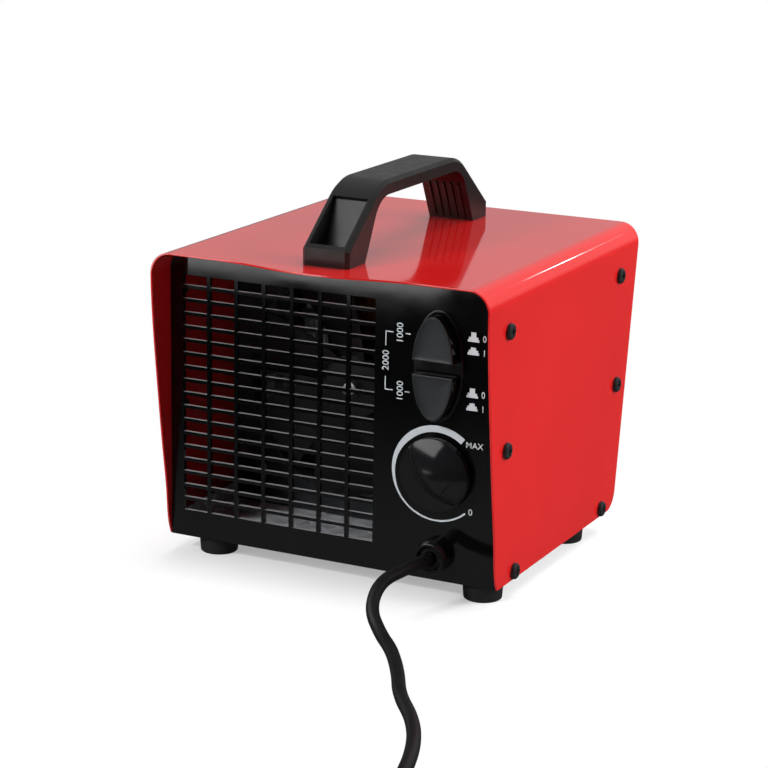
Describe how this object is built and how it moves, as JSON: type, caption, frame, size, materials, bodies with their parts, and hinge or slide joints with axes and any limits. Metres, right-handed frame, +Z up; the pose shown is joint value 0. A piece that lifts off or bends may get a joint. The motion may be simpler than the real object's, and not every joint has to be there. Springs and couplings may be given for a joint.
{
  "type": "ceramic space heater",
  "caption": "Portable ceramic fan heater: folded steel cover with a carrying handle, intake grille, two power buttons, thermostat dial, fan, heating element and mains lead.",
  "frame": {"origin": "on the table, below the middle of the heater's box", "axes": "+X to the right of someone who faces the controls, +Y from the controls back through the heater, +Z up"},
  "size_m": [0.4106, 0.5582, 0.217],
  "materials": {
    "red_enamel": "gloss",
    "black_enamel": "semi-gloss",
    "screw_steel": "bright zinc",
    "screw_black": "black oxide",
    "galvanised_steel": "spangled zinc",
    "button_plastic": "satin",
    "bezel_plastic": "gloss",
    "knob_plastic": "gloss",
    "switch_plastic": "matt",
    "handle_plastic": "fine grain",
    "gland_plastic": "gloss",
    "foot_rubber": "matt",
    "fan_blades": "matt",
    "shaft_steel": "ground",
    "clip_steel": "bright",
    "laminated_iron": "stamped sheets, side by side",
    "copper_winding": "enamelled wire",
    "bearing_alloy": "cast",
    "moulded_frame": "heat-proof moulding",
    "strip_aluminium": "mill",
    "ptc_ceramic": "fired",
    "guard_wire": "bright",
    "block_plastic": "matt",
    "lead_sheath": "satin",
    "plug_rubber": "satin",
    "pin_brass": "nickel plate"
  },
  "bodies": {
    "housing": {"cover_shell": "red_enamel", "cover_screws": "screw_black", "control_panel": "black_enamel", "button_bezel": "bezel_plastic", "upper_switch": "switch_plastic", "lower_switch": "switch_plastic", "thermostat_body": "galvanised_steel", "cord_gland": "gland_plastic", "base_plate": "galvanised_steel", "foot_front_left": "foot_rubber", "foot_front_right": "foot_rubber", "foot_rear_left": "foot_rubber", "foot_rear_right": "foot_rubber", "foot_screws": "screw_steel", "fan_plate": "galvanised_steel", "motor_stator": "laminated_iron", "motor_coil": "copper_winding", "motor_bracket_front": "bearing_alloy", "motor_bracket_rear": "bearing_alloy", "motor_mount": "galvanised_steel", "motor_bolts": "screw_steel", "heater_duct": "galvanised_steel", "element_frame": "moulded_frame", "element_strips": "strip_aluminium", "ceramic_stones": "ptc_ceramic", "radiator_fins": "strip_aluminium", "outlet_panel": "black_enamel", "outlet_guard": "guard_wire", "thermal_cutout": "switch_plastic", "cutout_strap": "galvanised_steel", "terminal_block": "block_plastic", "handle": "handle_plastic", "handle_screws": "screw_steel", "mains_cord": "lead_sheath", "mains_cord_coil": "lead_sheath", "mains_cord_tail": "lead_sheath", "mains_plug": "plug_rubber", "plug_pins": "pin_brass"},
    "fan": {"fan_rotor": "fan_blades", "fan_clip": "clip_steel", "motor_shaft": "shaft_steel", "motor_rotor": "laminated_iron"},
    "knob": {"thermostat_knob": "knob_plastic", "thermostat_spindle": "shaft_steel"},
    "button_upper": {"upper_button": "button_plastic"},
    "button_lower": {"lower_button": "button_plastic"}
  },
  "joints": [
    {"name": "fan_spin", "type": "hinge", "parent": "housing", "child": "fan", "pos_m": [-0.018, -0.016, 0.092], "axis": [0, 1, 0], "continuous": true},
    {"name": "thermostat_turn", "type": "hinge", "parent": "housing", "child": "knob", "pos_m": [0.0643, -0.0875, 0.0696], "axis": [0, 1, 0], "range_deg": [0, 270]},
    {"name": "upper_button_push", "type": "slide", "parent": "housing", "child": "button_upper", "axis": [0, 1, 0], "range_m": [0, 0.004], "stiffness_N_per_m": 400, "springref_m": -0.003},
    {"name": "lower_button_push", "type": "slide", "parent": "housing", "child": "button_lower", "axis": [0, 1, 0], "range_m": [0, 0.004], "stiffness_N_per_m": 400, "springref_m": -0.003}
  ]
}
